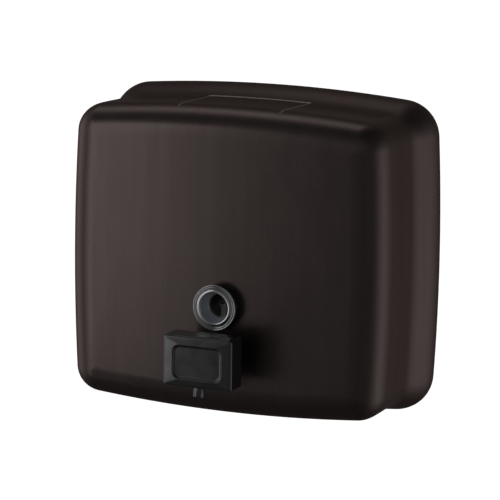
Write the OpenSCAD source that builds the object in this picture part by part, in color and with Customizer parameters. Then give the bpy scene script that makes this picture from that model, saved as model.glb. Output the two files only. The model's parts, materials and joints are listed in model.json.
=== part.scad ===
// Wall mounted soap dispenser with a horizontal drawn-metal reservoir.
// Millimetres. Origin at the centre of the wall plate's screw pattern, in the wall plane.
// +Z is up, the wall is the plane Y = 0 and the front of the dispenser faces -Y.

/* [Reservoir shell] */
// Overall width, across the back ridge
body_w = 178; // [172:1:190]
// Overall height, across the back ridge
body_h = 162; // [156:1:174]
// Distance from the wall to the front face
body_depth = 84; // [80:1:92]
// Thickness of the drawn sheet
sheet = 1.2; // [0.9:0.1:1.5]
// How far the back ridge stands out from the front tier
ridge_step = 4.7; // [3:0.1:6]
// Distance of the ridge's crest from the wall
ridge_from_wall = 19.2; // [18:0.1:20]
// Distance of the waist between the two tiers from the wall
waist_from_wall = 42; // [41.5:0.5:43]
// Depth of the waist below the front rim
waist_dip = 0.5; // [0:0.1:0.8]
// Rounding between the front face and the sides
front_round = 13.4; // [11:0.1:14]
// Corner radius of the front tier, seen from the front
corner_r = 14; // [14:0.5:20]
// Radius of the bowed left and right sides
side_bow_r = 1060; // [800:10:2000]
// Radius of the bowed top and bottom
top_bow_r = 765; // [600:10:1500]
// How far the shell tucks in at the wall, from the front rim's outline
wall_tuck = 7; // [5:0.1:8]

/* [Filler lid] */
// Width of the filler opening
opening_w = 54.2; // [50:0.1:58]
// Seam between the lid and its opening
lid_seam = 0.4; // [0.3:0.05:0.6]
// Distance of the lid's front edge from the wall
lid_front = 74.5; // [73:0.1:75]
// Distance of the lid's rear edge from the wall
lid_rear = 39; // [38.8:0.1:39.4]
// Distance of the lid hinge's pin from the wall
hinge_from_wall = 48; // [47.8:0.1:49]
// Outer radius of the lid's two hinge ears
ear_r = 2.2; // [2:0.05:2.4]
// Radius of the hinge pin
hinge_pin_r = 1; // [0.8:0.05:1]

/* [Sight window] */
// Height of the window's axis, measured from the wall plate's centre
window_z = -20.7; // [-21.5:0.1:-20]
// Radius of the window's front rim
window_r = 11.3; // [11:0.1:11.5]
// How far the window stands out from the front face
window_proud = 6; // [5:0.1:6.2]
// Radius of the front well at its rim
window_well_r = 8; // [7.5:0.1:8.5]
// Depth of the front well
window_well_depth = 8; // [7:0.1:8.5]
// Radius of the rear bore that holds soap behind the clear web
window_bore_r = 7.4; // [7:0.1:7.6]

/* [Valve] */
// Height of the valve's axis, measured from the wall plate's centre
valve_z = -44.4; // [-45:0.1:-44.2]
// Width of the push button
button_w = 36.6; // [34:0.1:38]
// Height of the push button
button_h = 25.6; // [25:0.1:25.8]
// Depth of the push button
button_d = 13; // [12.5:0.1:13.5]
// Distance from the wall to the button's front
button_front = 109.3; // [109:0.1:110]
// Travel of the push button
button_travel = 6; // [4:0.5:6]
// Outer radius of the spout
spout_r = 2.75; // [2.6:0.05:2.9]
// Forward lean of the spout, in degrees
spout_lean = 12; // [0:1:14]
// Radius of the pump cylinder's bore
pump_bore_r = 6.8; // [6.6:0.1:6.9]

/* [Wall plate] */
// Width of the wall plate
plate_w = 120; // [110:1:130]
// Height of the wall plate
plate_h = 112; // [110:1:114]
// Spacing of the wall screws, left to right
screw_dx = 90; // [80:1:100]
// Spacing of the wall screws, up and down
screw_dz = 76; // [70:1:84]
// Radius of the wall screw holes
screw_hole_r = 2.6; // [2.2:0.1:3]
// Thickness of the wall plate
plate_t = 1.5; // [1.2:0.1:1.6]

/* [Hidden] */

$fn = 64;
eps = 0.05;
running = 0.04;

// Colours
bronze = [0.16, 0.13, 0.12];
steel = [0.72, 0.72, 0.73];
black = [0.06, 0.06, 0.06];
rubber = [0.12, 0.12, 0.13];
white_plastic = [0.88, 0.88, 0.86];
clear_plastic = [0.75, 0.8, 0.82, 0.5];
brass = [0.78, 0.62, 0.32];

// ---- Shell: one outline of eight arcs, offset inward by the profile's depth d at each distance y
rim_a = body_w / 2 - ridge_step;
rim_b = body_h / 2 - ridge_step;
front_y = -body_depth;
rim_y = front_y + front_round;
waist_y = -waist_from_wall;
ridge_y = -ridge_from_wall;
side_steps = 2;
corner_steps = 7;
top_steps = 3;

// Centre of the corner arc, where the circles about the two bow centres cross
function corner_centre() =
    let (c1 = [rim_a - side_bow_r, 0], c2 = [0, rim_b - top_bow_r])
    let (d1 = side_bow_r - corner_r, d2 = top_bow_r - corner_r)
    let (gap = norm(c2 - c1), u = (c2 - c1) / gap)
    let (t = (d1 * d1 - d2 * d2 + gap * gap) / (2 * gap), h = sqrt(d1 * d1 - t * t))
    c1 + t * u + h * [-u.y, u.x];

function arc(c, r, a0, a1, steps, last) =
    [for (i = [0 : last ? steps : steps - 1]) c + r * [cos(a0 + (a1 - a0) * i / steps),
                                                     sin(a0 + (a1 - a0) * i / steps)]];

// One quarter of the outline, from the right side's middle to the top's middle
function quarter(d) =
    let (c1 = [rim_a - side_bow_r, 0], c2 = [0, rim_b - top_bow_r], f = corner_centre())
    let (a1 = atan2(f.y - c1.y, f.x - c1.x), a2 = atan2(f.y - c2.y, f.x - c2.x))
    concat(arc(c1, side_bow_r - d, 0, a1, side_steps, false),
           arc(f, corner_r - d, a1, a2, corner_steps, false),
           arc(c2, top_bow_r - d, a2, 90, top_steps, true));

function outline(d) =
    let (q = quarter(d), m = len(q))
    concat(q,
           [for (i = [m - 2 : -1 : 0]) [-q[i].x, q[i].y]],
           [for (i = [1 : m - 1]) [-q[i].x, -q[i].y]],
           [for (i = [m - 2 : -1 : 1]) [q[i].x, -q[i].y]]);
outline_n = 4 * (side_steps + corner_steps + top_steps);

// Profile stations [y, d, inward normal in y, inward normal in d]
function wave(y0, y1, d0, d1, s, turn) =
    let (slope = (d1 - d0) * (turn == 180 ? 0.5 : 1) * turn * PI / 180 * sin(turn * s) / (y1 - y0))
    let (n = norm([slope, 1]))
    [y0 + (y1 - y0) * s, d0 + (d1 - d0) * (turn == 180 ? 0.5 : 1) * (1 - cos(turn * s)),
     -slope / n, 1 / n];
profile = concat(
    [for (t = [0 : 15 : 90]) [front_y + front_round * (1 - cos(t)), front_round * (1 - sin(t)),
                              cos(t), sin(t)]],
    [for (s = [0.34, 0.67, 1]) wave(rim_y, waist_y, 0, waist_dip, s, 180)],
    [for (s = [1 : 6]) wave(waist_y, ridge_y, waist_dip, -ridge_step, s / 6, 180)],
    [for (s = [1 : 5]) wave(ridge_y, 0, -ridge_step, wall_tuck, s / 5, 90)]);

function ring(y, d) = [for (p = outline(d)) [p.x, y, p.y]];
function moved(p, off) = [min(p[0] + off * p[2], 0), p[1] + off * p[3]];

// A skin that follows the shell, from off to off + t below its outer face
module skin(off, t) {
    out = [for (p = profile) moved(p, off)];
    inn = [for (i = [len(profile) - 1 : -1 : 0]) moved(profile[i], off + t)];
    stations = concat(out, [[0, inn[0][1] + 0.6 * t]], [for (i = [1 : len(inn) - 1]) inn[i]]);
    n = outline_n;
    last = len(stations) - 1;
    points = [for (s = stations) each ring(s[0], s[1])];
    faces = concat(
        [[for (i = [n - 1 : -1 : 0]) i]],
        [for (k = [0 : last - 1]) for (i = [0 : n - 1])
            [k * n + i, k * n + (i + 1) % n, (k + 1) * n + (i + 1) % n, (k + 1) * n + i]],
        [[for (i = [0 : n - 1]) last * n + i]]);
    polyhedron(points, faces, convexity = 6);
}

// ---- Helpers
// Runs along Y from y0 to y1, about the axis X = 0, Z = z
module along_y(y0, y1, z = 0) {
    translate([0, y0, z]) rotate([-90, 0, 0]) linear_extrude(y1 - y0) children();
}
module rod_y(r, y0, y1, z) {
    along_y(y0, y1, z) circle(r);
}
module tube_y(r_out, r_in, y0, y1, z) {
    along_y(y0, y1, z) difference() {
        circle(r_out);
        circle(r_in);
    }
}
module rod_x(r, x0, x1, y, z, fn = 48) {
    translate([x0, y, z]) rotate([0, 90, 0]) cylinder(r = r, h = x1 - x0, $fn = fn);
}
module rod_z(r, z0, z1, x, y) {
    translate([x, y, z0]) cylinder(r = r, h = z1 - z0);
}
module box(lo, hi) {
    translate(lo) cube(hi - lo);
}
// Turned about the Y axis at height z: profile points are [radius, y]
module turned_y(z, points) {
    translate([0, 0, z]) rotate([-90, 0, 0]) rotate_extrude() polygon(points);
}
module rounded_rect(w, h, r) {
    square([w - 2 * r, h], center = true);
    square([w, h - 2 * r], center = true);
    for (x = [-1, 1], z = [-1, 1])
        translate([x * (w / 2 - r), z * (h / 2 - r)]) circle(r, $fn = 32);
}
module hex_nut(apothem, bore_r, y0, y1, z) {
    along_y(y0, y1, z) difference() {
        circle(apothem / cos(30), $fn = 6);
        circle(bore_r);
    }
}

// ---- Wall plate, hooks and locking screw
panel_y = -11.5;
panel_t = 1.2;
panel_back = panel_y + panel_t;
bracket_t = 1.2;
hook_x = 34;
hook_w = 22;
hook_z = 30;
hook_gap = 2.2;
hook_lip_y = -plate_t - hook_gap - plate_t;
hook_lip_h = 10;
lock_y = -5.7;
lock_z = -plate_h / 2;
lock_screw_r = 1.95;
lock_hole_r = 2.3;
lock_nut_h = 3;
lock_head_r = 3.2;
lock_head_h = 2.4;
lock_tab_y = -9.4;
lock_leg_y = -1.2;
lock_leg_h = 12;
nut_r = 3.9;
socket_key_r = 1.3;
socket_key_depth = 1.4;
thread_past_nut = 2;
lock_leg_top = lock_z - 1;
lock_w = 18;
access_r = 4.2;

module wall_plate() {
    color(steel) {
        difference() {
            along_y(-plate_t, 0) rounded_rect(plate_w, plate_h, 5);
            for (x = [-1, 1], z = [-1, 1])
                translate([x * screw_dx / 2, -plate_t - 1, z * screw_dz / 2])
                    rotate([-90, 0, 0]) cylinder(r = screw_hole_r, h = plate_t + 2);
        }
        for (x = [-hook_x, hook_x]) {
            box([x - hook_w / 2, hook_lip_y, hook_z], [x + hook_w / 2, -plate_t / 2, hook_z + plate_t]);
            box([x - hook_w / 2, hook_lip_y, hook_z],
                [x + hook_w / 2, hook_lip_y + plate_t, hook_z + hook_lip_h]);
        }
        difference() {
            box([-lock_w / 2, lock_tab_y, lock_z], [lock_w / 2, -plate_t / 2, lock_z + plate_t]);
            rod_z(lock_hole_r, lock_z - 1, lock_z + plate_t + 1, 0, lock_y);
        }
    }
}
module lock_nut() {
    z0 = lock_z + plate_t;
    color(steel) difference() {
        rod_z(nut_r, z0, z0 + lock_nut_h, 0, lock_y);
        rod_z(lock_screw_r + eps, z0 - 1, z0 + lock_nut_h + 1, 0, lock_y);
    }
}
module lock_screw() {
    under = lock_leg_top - bracket_t;
    color(steel) difference() {
        union() {
            rod_z(lock_head_r, under - lock_head_h, under, 0, lock_y);
            rod_z(lock_screw_r, under - eps, lock_z + plate_t + lock_nut_h + thread_past_nut, 0, lock_y);
        }
        translate([0, lock_y, under - lock_head_h - 1])
            cylinder(r = socket_key_r, h = socket_key_depth + 1, $fn = 6);
    }
}
// Z-shaped: its front leg is welded to the back panel, its rear leg hangs behind the hooks' lips
module hanger_bracket() {
    half_w = 52;
    leg_h = 15;
    lip_y = -plate_t - 0.5 - bracket_t;
    web_z = hook_z + plate_t + 0.1;
    web_top = hook_z + hook_lip_h + 4;
    color(steel) {
        box([-half_w, lip_y, web_z], [half_w, lip_y + bracket_t, web_top + bracket_t]);
        box([-half_w, panel_back, web_top], [half_w, lip_y + bracket_t, web_top + bracket_t]);
        box([-half_w, panel_back, web_top], [half_w, panel_back + bracket_t, web_top + leg_h]);
    }
}
module lock_bracket() {
    color(steel) difference() {
        union() {
            box([-lock_w / 2, panel_back, lock_leg_top - lock_leg_h],
                [lock_w / 2, panel_back + bracket_t, lock_leg_top]);
            box([-lock_w / 2, panel_back, lock_leg_top - bracket_t],
                [lock_w / 2, lock_leg_y, lock_leg_top]);
        }
        rod_z(lock_hole_r, lock_leg_top - bracket_t - 1, lock_leg_top + 1, 0, lock_y);
    }
}

// ---- Reservoir
window_hole_r = 9.8;
valve_hole_r = 9.2;
rear_opening_y = -lid_rear + 0.7;
panel_inset = -0.1;

module body_shell() {
    color(bronze) difference() {
        skin(0, sheet);
        rod_y(window_hole_r, front_y - 1, front_y + sheet + 1, window_z);
        rod_y(valve_hole_r, front_y - 1, front_y + sheet + 1, valve_z);
        box([-opening_w / 2, -lid_front - lid_seam, rim_b - 8],
            [opening_w / 2, rear_opening_y, rim_b + 8]);
        rod_z(access_r, -body_h / 2 - 5, lock_leg_top - 8, 0, lock_y);
    }
}
module back_panel() {
    color(steel) along_y(panel_y, panel_back) mirror([0, 1]) polygon(outline(panel_inset));
}

// ---- Filler opening, lid, hinge and catch
lid_w = opening_w - 2 * lid_seam;
crown_drop = top_bow_r - sqrt(pow(top_bow_r, 2) - pow(lid_w / 2, 2));
hinge_y = -hinge_from_wall;
hinge_z = rim_b - waist_dip - crown_drop - sheet - hinge_pin_r - 0.25;
ear_x = 21.5;
ear_t = 3;
frame_t = 1;
frame_z = hinge_z - 12;
frame_half = opening_w / 2;
frame_front_y = -72.5;
flange_w = 4;
flange_front = 1.9;
tongue_y = -70.9;
tongue_half = 7;
tongue_h = 3.6;

module frame_tube(x, y0, y1) {
    difference() {
        box([-x, y0, frame_z], [x, y1, rim_b + 5]);
        box([-x + frame_t, y0 + frame_t, frame_z - 1], [x - frame_t, y1 - frame_t, rim_b + 6]);
    }
}
// A neck below the opening, with a flange under the shell and a ledge under the lid's front edge
module filler_frame() {
    x = frame_half + frame_t;
    color(steel) difference() {
        union() {
            difference() {
                intersection() {
                    skin(sheet + eps, frame_t);
                    box([-frame_half - flange_w, -lid_front - flange_front, rim_b - 10],
                        [frame_half + flange_w, rear_opening_y + flange_w, rim_b + 5]);
                }
                box([-frame_half, frame_front_y, rim_b - 11], [frame_half, rear_opening_y, rim_b + 6]);
            }
            difference() {
                frame_tube(x, frame_front_y - frame_t, rear_opening_y + frame_t);
                skin(-8, 8 + sheet + eps + frame_t / 2);
            }
        }
        rod_x(hinge_pin_r + running, -x - 1, x + 1, hinge_y, hinge_z);
    }
}
module hinge_pin() {
    half = frame_half + frame_t + 0.4;
    color(steel) rod_x(hinge_pin_r, -half, half, hinge_y, hinge_z);
}
// The plate reaches behind the pin, so that its rear edge swings down inside the neck
module filler_lid() {
    color(bronze) difference() {
        union() {
            intersection() {
                skin(0, sheet);
                box([-lid_w / 2, -lid_front, rim_b - 8], [lid_w / 2, -lid_rear, rim_b + 5]);
            }
            difference() {
                union() {
                    for (x = [-ear_x, ear_x]) {
                        box([x - ear_t / 2, hinge_y - ear_r, hinge_z],
                            [x + ear_t / 2, hinge_y + ear_r, rim_b]);
                        rod_x(ear_r, x - ear_t / 2, x + ear_t / 2, hinge_y, hinge_z);
                    }
                    box([-tongue_half, tongue_y, hinge_z - tongue_h], [tongue_half, tongue_y + 1, rim_b]);
                }
                skin(-8, 8 + sheet / 2);
            }
        }
        rod_x(hinge_pin_r + running, -40, 40, hinge_y, hinge_z);
    }
}
catch_y = frame_front_y + 0.05;
catch_half = 6;
catch_t = 0.5;
catch_bead_r = 0.55;
catch_rivet_x = 3;
catch_rivet_z = hinge_z - 8.5;
catch_rivet_r = 0.9;
module catch_spring() {
    color(steel) difference() {
        union() {
            box([-catch_half, catch_y, hinge_z - 11], [catch_half, catch_y + catch_t, hinge_z - 1.6]);
            rod_x(catch_bead_r, -catch_half, catch_half, catch_y + catch_t, hinge_z - 2.2, 24);
        }
        for (x = [-catch_rivet_x, catch_rivet_x])
            translate([x, catch_y - 1, catch_rivet_z]) rotate([-90, 0, 0])
                cylinder(r = catch_rivet_r + 0.05, h = 3, $fn = 24);
    }
}
module catch_rivets() {
    color(steel) for (x = [-catch_rivet_x, catch_rivet_x])
        translate([x, catch_y + 0.02, catch_rivet_z]) rotate([-90, 0, 0]) {
            cylinder(r = catch_rivet_r, h = catch_t, $fn = 24);
            translate([0, 0, catch_t - 0.02]) cylinder(r = 1.6, h = 0.6, $fn = 24);
        }
}

// ---- Sight window
gasket_t = 1;
window_front = front_y - window_proud;
window_shank_r = 9.5;
window_end = window_front + 18;
window_floor_r = 6.1;
window_web_t = 2;
window_soft = 0.6;
washer_t = 1;
window_nut_apothem = 11.1;
window_nut_t = 5;

// A conical well in front and a bore behind, with a clear web between them
module sight_window() {
    base = front_y - gasket_t;
    web = window_front + window_well_depth;
    rear = web + window_web_t;
    color(clear_plastic) turned_y(window_z, [
        [0, web], [window_floor_r, web], [window_well_r, window_front],
        [window_r - window_soft, window_front], [window_r, window_front + window_soft],
        [window_r, base], [window_shank_r, base],
        [window_shank_r, window_end - window_soft], [window_shank_r - window_soft, window_end],
        [window_bore_r, window_end], [window_bore_r, rear + window_soft],
        [window_bore_r - window_soft, rear], [0, rear]]);
}
module window_gasket() {
    color(rubber) tube_y(window_r + 0.2, window_shank_r + 0.2, front_y - gasket_t, front_y, window_z);
}
module window_washer() {
    color(rubber) tube_y(window_nut_apothem, window_shank_r + 0.2, front_y + sheet,
                         front_y + sheet + washer_t, window_z);
}
module window_nut() {
    y0 = front_y + sheet + washer_t;
    color(white_plastic)
        hex_nut(window_nut_apothem, window_shank_r + eps, y0, y0 + window_nut_t, window_z);
}

// ---- Valve: fixed parts
shank_r = 9;
collar_r = 10.9;
collar_y = -button_front + button_d + button_travel + 0.3;
stem_r = 4;
guide_end = -77;
shank_end = -70;
seal_ring_r = stem_r + 0.9;
seal_wire_r = 0.85;
seal_y = front_y + 2.1;
valve_nut_apothem = 11.6;
valve_nut_t = 6;
socket_r = 8;
cyl_flange_r = 8.8;
cyl_y1 = -48;
seat_y = -52;
stem_bore_r = 1.6;
port_r = 1.3;
piston_y0 = guide_end + 0.2;
piston_len = 7;

module valve_body() {
    color(black) difference() {
        union() {
            rod_y(collar_r, collar_y, front_y - gasket_t, valve_z);
            rod_y(shank_r, front_y - gasket_t - 0.5, shank_end, valve_z);
        }
        rod_y(stem_r + running, collar_y - 1, shank_end + 1, valve_z);
        rod_y(socket_r + running, guide_end, shank_end + 1, valve_z);
        rod_y(seal_ring_r + seal_wire_r + eps, seal_y - 1.1, seal_y + 1.1, valve_z);
    }
}
module valve_gasket() {
    color(rubber) tube_y(collar_r - 0.1, shank_r + 0.1, front_y - gasket_t, front_y, valve_z);
}
module valve_washer() {
    color(rubber) tube_y(valve_nut_apothem - 0.4, shank_r + 0.1, front_y + sheet,
                         front_y + sheet + washer_t, valve_z);
}
module valve_nut() {
    y0 = front_y + sheet + washer_t;
    color(brass) hex_nut(valve_nut_apothem, shank_r + eps, y0, y0 + valve_nut_t, valve_z);
}
module stem_seal() {
    color(rubber) translate([0, seal_y, valve_z]) rotate([-90, 0, 0])
        rotate_extrude() translate([seal_ring_r, 0]) circle(seal_wire_r, $fn = 24);
}
module pump_cylinder() {
    color(white_plastic) difference() {
        union() {
            rod_y(socket_r, guide_end + 0.05, cyl_y1, valve_z);
            rod_y(cyl_flange_r, shank_end + 0.2, cyl_y1, valve_z);
        }
        rod_y(pump_bore_r, guide_end - 1, cyl_y1 + 1, valve_z);
    }
}
module inlet_seat() {
    color(white_plastic) tube_y(pump_bore_r - 0.02, inlet_r, seat_y, cyl_y1, valve_z);
}
ball_r = 2.4;
inlet_r = 1.7;
cage_bore_r = 2.6;
cage_r = 4;
ball_lift = 1.2;
ball_y = seat_y - 1.8;
cage_y = ball_y - ball_r - ball_lift - 0.1;
module ball_cage() {
    color(white_plastic) difference() {
        rod_y(cage_r, cage_y - 0.8, seat_y, valve_z);
        rod_y(cage_bore_r, cage_y, seat_y + 1, valve_z);
        rod_y(cage_bore_r / 2, cage_y - 2, cage_y + 1, valve_z);
        for (a = [0 : 120 : 240])
            translate([0, 0, valve_z]) rotate([0, a, 0])
                box([-1, cage_y + 0.8, 0], [1, seat_y - 0.8, 6]);
    }
}
module inlet_ball() {
    color(steel) translate([0, ball_y, valve_z]) sphere(ball_r, $fn = 48);
}

// Spring between the piston and the inlet seat, swept as a helix about the valve's axis
spring_r = 5.4;
wire_r = 0.55;
spring_turns = 5.5;
spring_y0 = piston_y0 + piston_len + wire_r + 0.05;
spring_y1 = seat_y - wire_r - 0.05;
wire_sides = 7;
spring_rings = 78;
module return_spring() {
    pitch_rise = (spring_y1 - spring_y0) / spring_rings;
    points = [for (k = [0 : spring_rings]) let (a = 360 * spring_turns * k / spring_rings)
        for (j = [0 : wire_sides - 1]) let (b = 360 * j / wire_sides, r = spring_r + wire_r * cos(b))
            [r * cos(a), spring_y0 + pitch_rise * k + wire_r * sin(b), valve_z + r * sin(a)]];
    faces = concat(
        [[for (j = [0 : wire_sides - 1]) j]],
        [for (k = [0 : spring_rings - 1]) for (j = [0 : wire_sides - 1]) let (i = (j + 1) % wire_sides)
            for (f = [[0, 1, 2], [0, 2, 3]]) let (q = [k * wire_sides + j, (k + 1) * wire_sides + j,
                                                       (k + 1) * wire_sides + i, k * wire_sides + i])
                [q[f[0]], q[f[1]], q[f[2]]]],
        [[for (j = [wire_sides - 1 : -1 : 0]) spring_rings * wire_sides + j]]);
    color(steel) polyhedron(points, faces, convexity = 10);
}

// ---- Valve: moving parts
button_rear = -button_front + button_d;
button_wall = 1.8;
button_round = 1.8;
spout_y = -102.6;
spout_len = (button_h / 2 + 4.7) / cos(spout_lean);
button_face = 2.6;
stem_front = -button_front + button_face;
socket_depth = 2.6;
cup_r = 5.6;
rib_t = 1.2;
recess_w = 26.6;
recess_h = 17.6;
recess_drop = 0.3;
spout_bore_r = 2.15;

// The spout's own axis runs down from the stem's axis and leans forward
module at_spout() {
    translate([0, spout_y, valve_z]) rotate([-spout_lean, 0, 0]) children();
}

module plunger_stem() {
    color(white_plastic) difference() {
        rod_y(stem_r, stem_front, piston_y0 + piston_len, valve_z);
        rod_y(stem_bore_r, spout_y - port_r - 0.4, piston_y0 + piston_len + 1, valve_z);
        at_spout() rod_z(port_r, -socket_depth - 1, 0, 0, 0);
        at_spout() rod_z(spout_r + running, -stem_r - 3, -socket_depth, 0, 0);
    }
}
module piston() {
    y0 = piston_y0;
    color(white_plastic) turned_y(valve_z, [
        [stem_r + 0.03, y0], [pump_bore_r - 0.1, y0], [pump_bore_r - 0.1, y0 + 2],
        [5.4, y0 + 2], [5.4, y0 + 4.6], [pump_bore_r - 0.1, y0 + 4.6],
        [pump_bore_r - 0.1, y0 + piston_len], [stem_r + 0.03, y0 + piston_len]]);
}
module u_packing() {
    y0 = piston_y0 + 2.1;
    r = pump_bore_r - 0.04;
    color(rubber) turned_y(valve_z, [
        [5.45, y0], [r - 0.2, y0], [r, y0 + 2.4], [r - 0.35, y0 + 2.4], [r - 0.5, y0 + 1.1],
        [5.8, y0 + 1.1], [5.7, y0 + 2.4], [5.45, y0 + 2.4]]);
}
// A block with rounded edges at the front and square ones at the rear
module button_block() {
    r = button_round;
    hull() for (x = [-1, 1], y = [-button_front + r, button_rear - 0.8], z = [-1, 1])
        translate([x * (button_w / 2 - r), y, valve_z + z * (button_h / 2 - r)])
            rotate([-90, 0, 0]) if (y < -button_front + button_d / 2) sphere(r, $fn = 24);
                else cylinder(r = r, h = 0.8, $fn = 24);
}
module push_button() {
    inner_w = button_w / 2 - button_wall;
    inner_h = button_h / 2 - button_wall;
    inner_y = -button_front + button_face;
    color(black) difference() {
        union() {
            difference() {
                button_block();
                box([-inner_w, inner_y, valve_z - inner_h],
                    [inner_w, button_rear + 1, valve_z + inner_h]);
            }
            rod_y(cup_r, inner_y - 0.2, button_rear - 0.7, valve_z);
            box([-inner_w - 0.5, inner_y - 0.2, valve_z - rib_t / 2],
                [inner_w + 0.5, button_rear - 5, valve_z + rib_t / 2]);
            box([-rib_t / 2, inner_y - 0.2, valve_z - inner_h - 0.5],
                [rib_t / 2, button_rear - 5, valve_z + inner_h + 0.5]);
        }
        rod_y(stem_r + 0.03, stem_front - 0.05, button_rear + 1, valve_z);
        translate([0, 0, valve_z - recess_drop]) hull() for (s = [[0.1, 0], [1, 0.8]])
            along_y(-button_front - 0.2, -button_front + s[0])
                rounded_rect(recess_w - 2 * s[1], recess_h - 2 * s[1], 3.4);
        at_spout() rod_z(spout_r + 0.15, -button_h, 0, 0, 0);
    }
}
module spout() {
    color(black) at_spout() difference() {
        rod_z(spout_r, -spout_len, -socket_depth - 0.02, 0, 0);
        rod_z(port_r, -spout_len - 1, 0, 0, 0);
        rod_z(spout_bore_r, -spout_len - 1, -spout_len + 4, 0, 0);
    }
}
module duckbill() {
    color(rubber) at_spout() translate([0, 0, -spout_len]) difference() {
        union() {
            translate([0, 0, 3]) cylinder(r = spout_bore_r - 0.05, h = 0.9);
            translate([0, 0, 0.3]) cylinder(r1 = 0.8, r2 = 1.9, h = 2.7 + eps);
        }
        translate([0, 0, 1.4]) cylinder(r1 = 0.3, r2 = 1.3, h = 3);
        translate([-1, -0.1, -1]) cube([2, 0.2, 3]);
    }
}

wall_plate();
lock_nut();
lock_screw();
body_shell();
back_panel();
hanger_bracket();
lock_bracket();
filler_frame();
hinge_pin();
filler_lid();
catch_spring();
catch_rivets();
sight_window();
window_gasket();
window_washer();
window_nut();
valve_body();
valve_gasket();
valve_washer();
valve_nut();
stem_seal();
pump_cylinder();
inlet_seat();
ball_cage();
inlet_ball();
return_spring();
plunger_stem();
piston();
u_packing();
push_button();
spout();
duckbill();
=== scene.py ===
# Looks for the wall mounted soap dispenser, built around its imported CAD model.
import json
import math

import bmesh
import bpy
from mathutils import Matrix, Vector


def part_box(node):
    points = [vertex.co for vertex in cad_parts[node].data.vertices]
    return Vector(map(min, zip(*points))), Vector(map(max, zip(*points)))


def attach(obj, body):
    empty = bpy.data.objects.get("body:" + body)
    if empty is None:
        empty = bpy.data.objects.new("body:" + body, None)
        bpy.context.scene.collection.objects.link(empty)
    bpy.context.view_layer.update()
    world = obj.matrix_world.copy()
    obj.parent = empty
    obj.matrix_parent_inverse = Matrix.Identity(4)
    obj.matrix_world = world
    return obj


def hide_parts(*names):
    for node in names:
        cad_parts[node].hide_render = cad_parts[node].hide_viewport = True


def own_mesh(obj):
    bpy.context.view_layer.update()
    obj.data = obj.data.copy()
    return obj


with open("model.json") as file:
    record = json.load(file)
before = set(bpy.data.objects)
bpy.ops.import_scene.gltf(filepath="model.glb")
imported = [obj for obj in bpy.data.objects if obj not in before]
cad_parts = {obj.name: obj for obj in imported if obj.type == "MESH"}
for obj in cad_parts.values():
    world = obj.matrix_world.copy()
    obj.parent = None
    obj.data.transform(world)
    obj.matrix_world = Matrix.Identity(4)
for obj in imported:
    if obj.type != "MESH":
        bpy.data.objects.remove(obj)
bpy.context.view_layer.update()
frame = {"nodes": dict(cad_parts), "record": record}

MM = 0.001


# ---------------------------------------------------------------- sizes, in millimetres
def size_mm(node):
    lo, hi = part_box(node)
    return (Vector(lo) / MM, Vector(hi) / MM)


SHELL_LO, SHELL_HI = size_mm("body_shell")
FRONT_Y = SHELL_LO.y
RIDGE_STEP = 4.7
RIM_A = SHELL_HI.x - RIDGE_STEP
RIM_B = SHELL_HI.z - RIDGE_STEP
SHEET = 1.2
LID_SHEET = 1.0
# The back edge is cut level with the wall, slantwise through the sheet, so it is wider than the sheet
BACK_EDGE_WIDTH = 1.4 * SHEET
FRONT_ROUND = 13.4
CORNER_R = 14.0
SIDE_BOW_R = 1060.0
TOP_BOW_R = 765.0
RIDGE_Y = -19.2
WAIST_Y = -42.0
WAIST_DIP = 0.5
WALL_TUCK = 7.0

OPENING_HALF = 27.1
SIDE_SEAM = 0.25
FRONT_SEAM = 0.12
SEAM_BEVEL = 0.45
EDGE_BEVEL = 0.28
SEAM_SLACK = 0.5
LID_FRONT_Y = -74.5
LID_REAR_Y = -39.0
REAR_EDGE_Y = -38.3
HINGE_Y = -48.0
LID_HALF = OPENING_HALF - SIDE_SEAM

WINDOW_Z = -20.7
WINDOW_HOLE_R = 9.8
VALVE_Z = -44.4
VALVE_HOLE_R = 9.2
HOLE_STEPS = 72
ACCESS_HOLE_R = 4.2
DRILL_LEN = 26.0
DRILL_UP = 8.0


# ---------------------------------------------------------------- camera
def make_camera():
    azimuth, elevation, roll = math.radians(24.143), math.radians(10.417), math.radians(0.802)
    distance = 1560.7
    lens = 225.8
    target = Vector((-1.157, -45, 0.65)) * MM
    back = Vector((math.sin(azimuth) * math.cos(elevation),
                   -math.cos(azimuth) * math.cos(elevation), math.sin(elevation)))
    right = (-back).cross(Vector((0, 0, 1))).normalized()
    up = right.cross(-back)
    right, up = (right * math.cos(roll) + up * math.sin(roll),
                 up * math.cos(roll) - right * math.sin(roll))
    data = bpy.data.cameras.new("camera")
    data.lens = lens
    data.sensor_width = 36
    data.clip_end = 50
    camera = bpy.data.objects.new("camera", data)
    bpy.context.scene.collection.objects.link(camera)
    place = Matrix((right, up, back)).transposed().to_4x4()
    place.translation = target + back * distance * MM
    camera.matrix_world = place
    bpy.context.scene.camera = camera


make_camera()


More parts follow.
